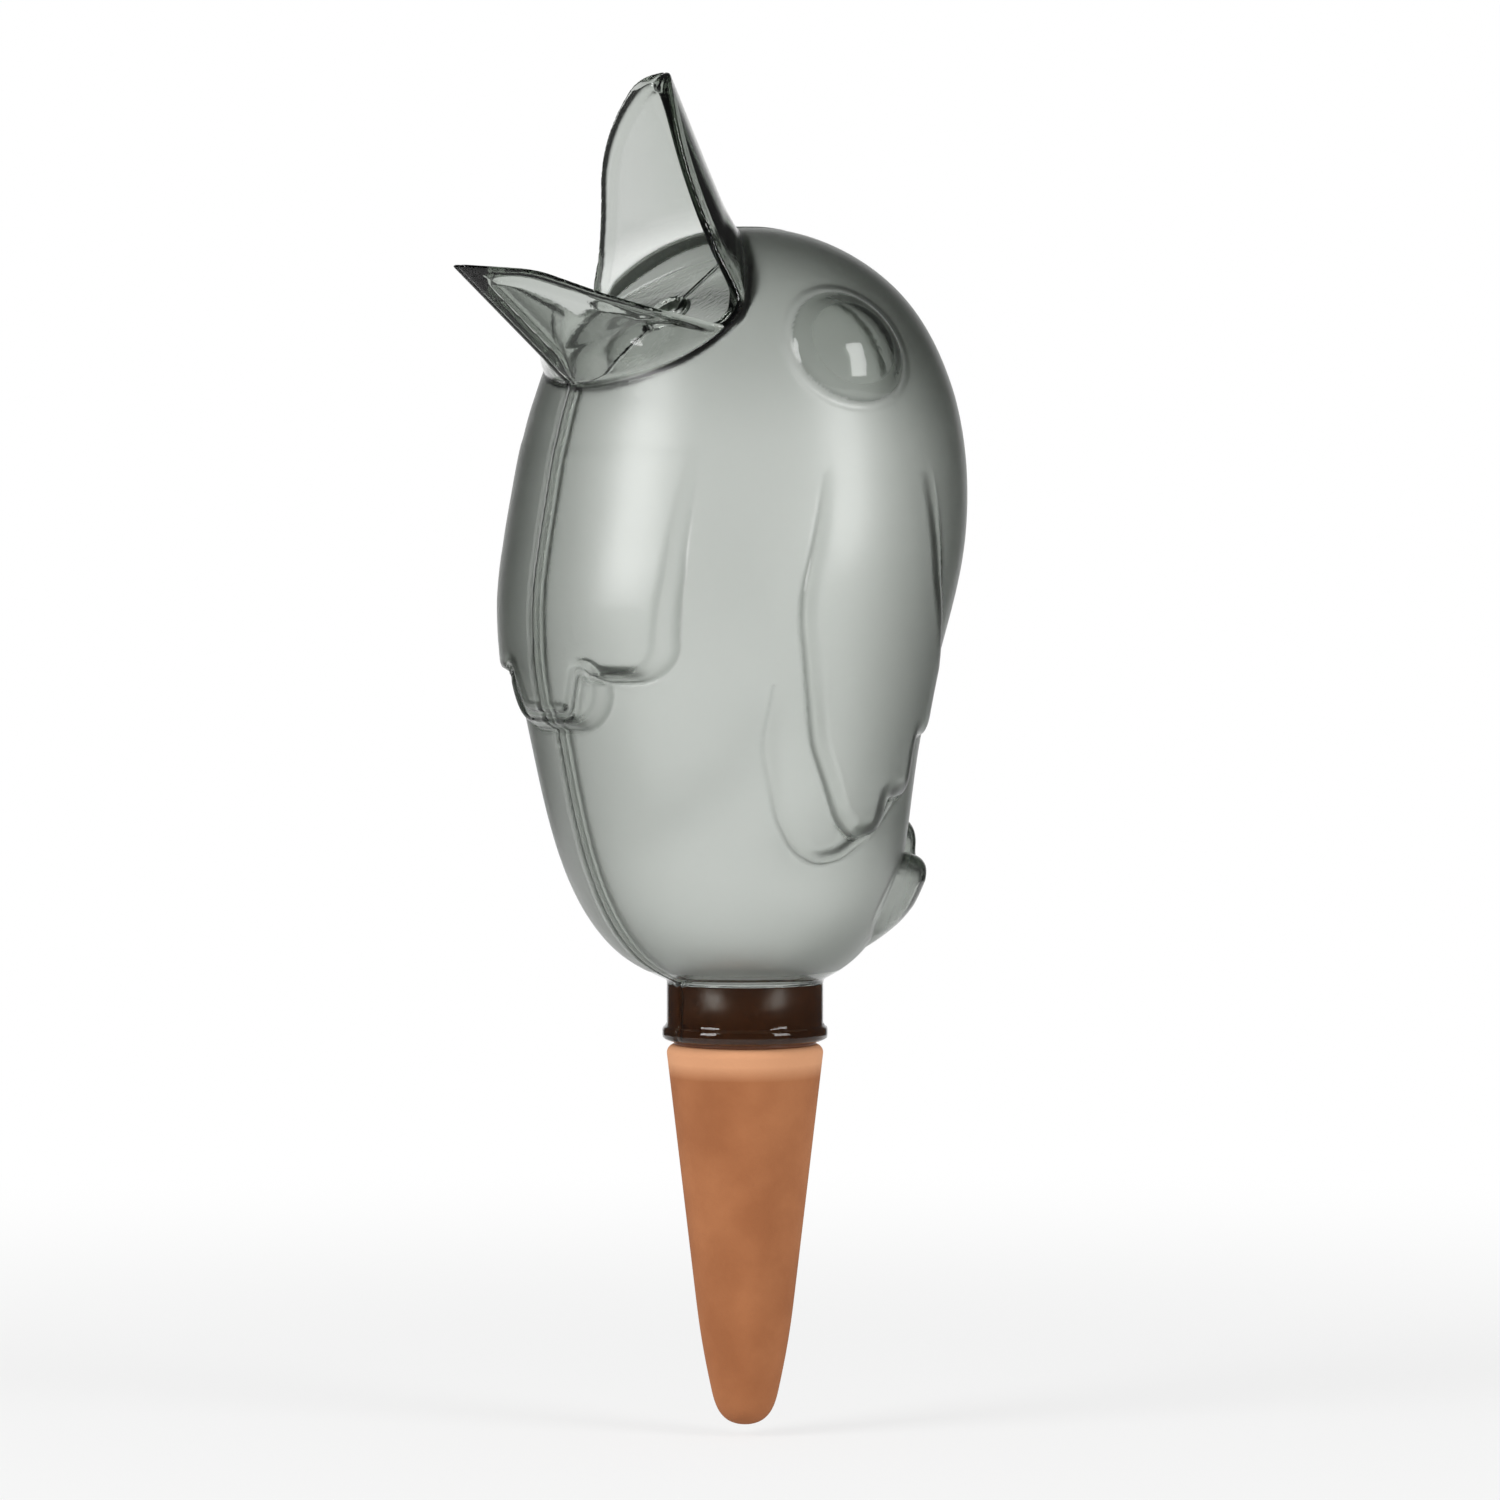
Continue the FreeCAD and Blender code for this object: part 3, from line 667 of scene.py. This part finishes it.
def mesh_object(name, points, faces, body, slot, material, node):
    """A smooth piece of quads that stands for a CAD node and rides on its body."""
    mesh = bpy.data.meshes.new(name)
    mesh.vertices.add(len(points))
    mesh.vertices.foreach_set("co", (points * MM).astype(np.float32).ravel())
    mesh.loops.add(faces.size)
    mesh.loops.foreach_set("vertex_index", faces.astype(np.int32).ravel())
    mesh.polygons.add(len(faces))
    mesh.polygons.foreach_set("loop_start", np.arange(0, faces.size, 4, dtype=np.int32))
    mesh.polygons.foreach_set("loop_total", np.full(len(faces), 4, np.int32))
    mesh.polygons.foreach_set("use_smooth", np.ones(len(faces), bool))
    mesh.update()
    mesh.validate()
    mesh.materials.append(material)
    piece = bpy.data.objects.new(name, mesh)
    bpy.context.scene.collection.objects.link(piece)
    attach(piece, body)
    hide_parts(node)
    return piece


# ---------------------------------------------------------------- materials

def new_material(name):
    material = bpy.data.materials.new(name)
    material.use_nodes = True
    nodes = material.node_tree.nodes
    return material, nodes, material.node_tree.links, nodes["Principled BSDF"]


def noise(nodes, links, scale, detail=3.0):
    coordinates = nodes.new("ShaderNodeTexCoord")
    texture = nodes.new("ShaderNodeTexNoise")
    texture.inputs["Scale"].default_value = scale
    texture.inputs["Detail"].default_value = detail
    links.new(coordinates.outputs["Object"], texture.inputs["Vector"])
    return texture.outputs["Fac"]


def bump(nodes, links, height, strength, distance):
    node = nodes.new("ShaderNodeBump")
    node.inputs["Strength"].default_value = strength
    node.inputs["Distance"].default_value = distance
    links.new(height, node.inputs["Height"])
    return node


def grain(nodes, links, shader, scale, strength, detail=3.0):
    """Fine noise in the shader's normal."""
    node = bump(nodes, links, noise(nodes, links, scale, detail), strength, GRAIN_DEPTH)
    links.new(node.outputs["Normal"], shader.inputs["Normal"])
    return node


def vertex_value(nodes, name):
    node = nodes.new("ShaderNodeAttribute")
    node.attribute_name = name
    return node.outputs["Fac"]


def color_mix(nodes, links, share, first, second):
    """A mix of two colours, each a colour or a socket."""
    node = nodes.new("ShaderNodeMix")
    node.data_type = "RGBA"
    links.new(share, node.inputs["Factor"])
    for socket, color in ((node.inputs["A"], first), (node.inputs["B"], second)):
        if isinstance(color, tuple):
            socket.default_value = color
        else:
            links.new(color, socket)
    return node.outputs["Result"]


def tank_material():
    """Tinted clear plastic with waves from the mould: clear where polished, and darker where shade
    is painted into its colour by a point attribute.
    """
    material, nodes, links, shader = new_material("tinted_clear_plastic_with_painted_shade")
    shader.inputs["Transmission Weight"].default_value = 1.0
    shader.inputs["IOR"].default_value = PLASTIC_IOR
    level = nodes.new("ShaderNodeMapRange")
    level.inputs["To Min"].default_value = FROSTED_ROUGHNESS
    level.inputs["To Max"].default_value = CLEAR_ROUGHNESS
    links.new(vertex_value(nodes, "polish"), level.inputs["Value"])
    links.new(level.outputs["Result"], shader.inputs["Roughness"])
    # painted shade: the colour darkens where the point attribute says so
    painted_shade = color_mix(nodes, links, vertex_value(nodes, "painted_shade"), (1.0, 1.0, 1.0, 1), PLASTIC_PAINTED_SHADE)
    links.new(painted_shade, shader.inputs["Base Color"])
    wave = noise(nodes, links, scale=45.0, detail=1.0)
    wave = bump(nodes, links, wave, strength=0.10, distance=WAVE_DEPTH)
    fine = grain(nodes, links, shader, scale=900.0, strength=0.08)
    links.new(wave.outputs["Normal"], fine.inputs["Normal"])
    volume = nodes.new("ShaderNodeVolumeAbsorption")
    volume.inputs["Color"].default_value = PLASTIC_COLOR
    volume.inputs["Density"].default_value = PLASTIC_DENSITY
    links.new(volume.outputs["Volume"], nodes["Material Output"].inputs["Volume"])
    return material


def plain_material(name, color, roughness, grain_scale, grain_strength):
    material, nodes, links, shader = new_material(name)
    shader.inputs["Base Color"].default_value = color
    shader.inputs["Roughness"].default_value = roughness
    grain(nodes, links, shader, grain_scale, grain_strength)
    return material


def clay_material():
    """Terracotta: cloudy colour, a painted paler band round the cone's top which stands in for
    light there, and a fine grain.
    """
    material, nodes, links, shader = new_material("terracotta")
    shader.inputs["Roughness"].default_value = 0.9
    ramp = nodes.new("ShaderNodeValToRGB")
    for i, color in enumerate((CLAY_DARK, CLAY_LIGHT)):
        ramp.color_ramp.elements[i].position = CLAY_CLOUDS[i]
        ramp.color_ramp.elements[i].color = color
    links.new(noise(nodes, links, scale=60.0, detail=5.0), ramp.inputs["Fac"])
    place = nodes.new("ShaderNodeTexCoord")
    split = nodes.new("ShaderNodeSeparateXYZ")
    links.new(place.outputs["Object"], split.inputs[0])
    # painted light: the colour turns paler towards the cone's top
    painted_light_band = nodes.new("ShaderNodeMapRange")
    painted_light_band.inputs["From Min"].default_value = CLAY_PAINTED_LIGHT_FROM
    painted_light_band.inputs["From Max"].default_value = CLAY_PAINTED_LIGHT_TO
    painted_light_band.inputs["To Max"].default_value = CLAY_PAINTED_LIGHT_SHARE
    links.new(split.outputs["Z"], painted_light_band.inputs["Value"])
    color = color_mix(nodes, links, painted_light_band.outputs["Result"], ramp.outputs["Color"], CLAY_PAINTED_LIGHT)
    links.new(color, shader.inputs["Base Color"])
    grain(nodes, links, shader, scale=1400.0, strength=0.5, detail=6.0)
    return material


# ---------------------------------------------------------------- pieces

def polish_and_painted_shade_of(points):
    """The polish and the painted shade of the tank's points, each from 0 to 1."""
    x, forward, z = np.abs(points[:, 0]), -points[:, 1], points[:, 2]
    along, over = beak_frame(forward, z)
    body = body_field(x, forward, z)
    outside_head = smoothstep(*CLEAR_BEAK_RISE, body) * (z > CLEAR_BEAK_ABOVE)
    in_mouth = (beak_loft(along, x, over, 0.0) < -CLEAR_MOUTH_WITHIN) & (over > CLEAR_MOUTH_ABOVE)
    beak = np.maximum(outside_head, in_mouth)
    eye = (np.abs(eye_field(x, forward, z)) < CLEAR_EYE_BAND) & (body > CLEAR_EYE_RISE)
    tail = smoothstep(*TAIL_RISE, body) * (forward < TAIL_BACK) * (z < TAIL_BELOW)
    lines = np.clip(relief_creases(x, forward, z) / FOOT_CREASE_DEPTH, 0, 1)
    lines = lines * (body > -CREASE_WITHIN)
    crown = smoothstep(*CROWN_PAINTED_SHADE_BACK, forward) * smoothstep(*CROWN_PAINTED_SHADE_RISE, z)
    high_beak = beak * smoothstep(*BEAK_PAINTED_SHADE_RISE, over)
    neck = z < CLEAR_NECK_BELOW
    polish = np.max([beak, eye, neck, TAIL_POLISH * tail, CREASE_POLISH * lines], 0)
    # painted shade on the beak's upper part, the creases, the crown and the eye
    painted_shade = [BEAK_PAINTED_SHADE * high_beak, CREASE_PAINTED_SHADE * lines, CROWN_PAINTED_SHADE * crown, EYE_PAINTED_SHADE * eye]
    painted_shade = np.max(painted_shade, 0)
    return (("polish", polish.astype(np.float32)), ("painted_shade", painted_shade.astype(np.float32)))


tank_plastic_and_painted_shade = tank_material()
points, faces = surface_net(tank_field, GRID_LOW, GRID_HIGH, GRID_STEP)
polish_and_painted_shade = polish_and_painted_shade_of(points)
for node, sign in (("tank_left", 1), ("tank_right", -1)):
    shell = mesh_object(node + "_shell", points * (sign, 1, 1), faces[:, ::sign],
                        "tank", "tank_plastic", tank_plastic_and_painted_shade, node)
    for label, values in polish_and_painted_shade:
        attribute = shell.data.attributes.new(label, "FLOAT", "POINT")
        attribute.data.foreach_set("value", values)

brown_plastic = plain_material("brown_plastic", PLUG_COLOR, roughness=0.28,
                               grain_scale=600.0, grain_strength=0.15)
mesh_object("plug_in_neck", *turned_mesh(PLUG_OUTLINE, PLUG_SIDES),
            "spike", "plug_plastic", brown_plastic, "connector_plug")

cured_adhesive = plain_material("cured_adhesive", ADHESIVE_COLOR, roughness=0.6,
                                grain_scale=300.0, grain_strength=0.3)
for node, material in (("bond_ring", cured_adhesive), ("clay_cone", clay_material())):
    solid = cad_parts[node]
    solid.data.materials.clear()
    solid.data.materials.append(material)


# ---------------------------------------------------------------- camera, floor and light

scene = bpy.context.scene
scene.view_settings.view_transform = "Standard"


def aimed(thing, spot, target):
    thing.location = spot
    thing.rotation_euler = (Vector(target) - Vector(spot)).to_track_quat("-Z", "Y").to_euler()
    scene.collection.objects.link(thing)
    return thing


def link_math(nodes, links, operation, *values):
    """A math node whose inputs are sockets or numbers."""
    node = nodes.new("ShaderNodeMath")
    node.operation = operation
    for socket, value in zip(node.inputs, values):
        if isinstance(value, (int, float)):
            socket.default_value = value
        else:
            links.new(value, socket)
    return node.outputs[0]


def vector_math(nodes, links, operation, vector, other=None):
    node = nodes.new("ShaderNodeVectorMath")
    node.operation = operation
    links.new(vector, node.inputs[0])
    if other is not None:
        node.inputs[1].default_value = other
    return node.outputs["Value"]


def ramp_between(nodes, links, value, low, high):
    node = nodes.new("ShaderNodeMapRange")
    node.interpolation_type = "SMOOTHSTEP"
    node.inputs["From Min"].default_value = low
    node.inputs["From Max"].default_value = high
    links.new(value, node.inputs["Value"])
    return node.outputs["Result"]


def mix_shader(nodes, links, share, first, second, output):
    node = nodes.new("ShaderNodeMixShader")
    links.new(share, node.inputs["Fac"])
    links.new(first, node.inputs[1])
    links.new(second, node.inputs[2])
    links.new(node.outputs[0], output)


def white_paths(nodes, links):
    """1 for camera rays, and 1 for all that show the background: camera, mirrored and through."""
    path = nodes.new("ShaderNodeLightPath").outputs
    camera_ray = path["Is Camera Ray"]
    seen = link_math(nodes, links, "MAXIMUM", camera_ray, path["Is Glossy Ray"])
    return camera_ray, link_math(nodes, links, "MAXIMUM", seen, path["Is Transmission Ray"])


def floor_material():
    """White floor with a soft shadow near the object, plain white further away."""
    material, nodes, links, shader = new_material("pale_floor")
    shader.inputs["Base Color"].default_value = FLOOR_COLOR
    shader.inputs["Roughness"].default_value = 0.9
    shader.inputs["Specular IOR Level"].default_value = 0.1
    spot = nodes.new("ShaderNodeTexCoord").outputs["Object"]
    far = ramp_between(nodes, links, vector_math(nodes, links, "LENGTH", spot), *FLOOR_SHADOW)
    white = link_math(nodes, links, "MULTIPLY_ADD", far, 1 - FLOOR_WHITE, FLOOR_WHITE)
    behind = vector_math(nodes, links, "DOT_PRODUCT", spot, -TOWARDS_CAMERA)
    camera_ray, seen = white_paths(nodes, links)
    screen = ramp_between(nodes, links, behind, *FLOOR_SCREEN)
    seen = link_math(nodes, links, "MULTIPLY", seen, screen)
    seen = link_math(nodes, links, "MAXIMUM", seen, camera_ray)
    share = link_math(nodes, links, "MULTIPLY", white, seen)
    plain = nodes.new("ShaderNodeEmission")
    plain.inputs["Strength"].default_value = 1.0
    mix_shader(nodes, links, share, shader.outputs["BSDF"], plain.outputs["Emission"],
               nodes["Material Output"].inputs["Surface"])
    return material


def round_floor():
    turns = np.linspace(0, 2 * math.pi, FLOOR_SIDES + 1)[:-1]
    rim = [(FLOOR_RADIUS * math.cos(t), FLOOR_RADIUS * math.sin(t), 0) for t in turns]
    mesh = bpy.data.meshes.new("floor")
    mesh.from_pydata(rim, [], [list(range(FLOOR_SIDES))])
    mesh.materials.append(floor_material())
    plane = bpy.data.objects.new("floor", mesh)
    plane.location = (0, 0, FLOOR_HEIGHT)
    scene.collection.objects.link(plane)


def softbox(name, right, near, height, size, power):
    light = bpy.data.lights.new(name, "AREA")
    light.shape = "RECTANGLE"
    light.size, light.size_y = size
    light.energy = power
    spot = TO_THE_RIGHT * right + TOWARDS_CAMERA * near + UP * height
    aimed(bpy.data.objects.new(name, light), spot, LIGHT_AIM)


def studio():
    """A white screen behind the object, dark sides, and an even light for everything matt."""
    world = bpy.data.worlds.new("studio")
    scene.world = world
    world.use_nodes = True
    nodes = world.node_tree.nodes
    links = world.node_tree.links
    direction = nodes.new("ShaderNodeTexCoord").outputs["Generated"]
    to_screen = vector_math(nodes, links, "DOT_PRODUCT", direction, -TOWARDS_CAMERA)
    screen = ramp_between(nodes, links, to_screen, SCREEN_EDGE, SCREEN_MIDDLE)
    camera_ray, seen = white_paths(nodes, links)
    through = link_math(nodes, links, "MULTIPLY_ADD", screen, 1 - SIDE_LEVEL, SIDE_LEVEL)
    white = nodes["Background"]
    white.inputs["Color"].default_value = (1, 1, 1, 1)
    links.new(link_math(nodes, links, "MAXIMUM", through, camera_ray), white.inputs["Strength"])
    room = nodes.new("ShaderNodeBackground")
    room.inputs["Color"].default_value = ROOM_COLOR
    room.inputs["Strength"].default_value = ROOM_LEVEL
    mix_shader(nodes, links, seen, room.outputs[0], white.outputs[0],
               nodes["World Output"].inputs["Surface"])


lens = bpy.data.cameras.new("camera")
lens.lens = LENS
lens.sensor_width = SENSOR_WIDTH
lens.clip_start = CLIP_START
camera_spot = TOWARDS_CAMERA * CAMERA_DISTANCE + UP * CAMERA_HEIGHT
camera_aim = TO_THE_RIGHT * AIM_RIGHT + UP * AIM_HEIGHT
scene.camera = aimed(bpy.data.objects.new("camera", lens), camera_spot, camera_aim)
round_floor()
softbox("key_light", right=-1.05, near=0.75, height=0.6, size=(0.6, 0.9), power=14)
softbox("fill_light", right=1.0, near=0.7, height=0.5, size=(0.5, 0.9), power=9)
studio()
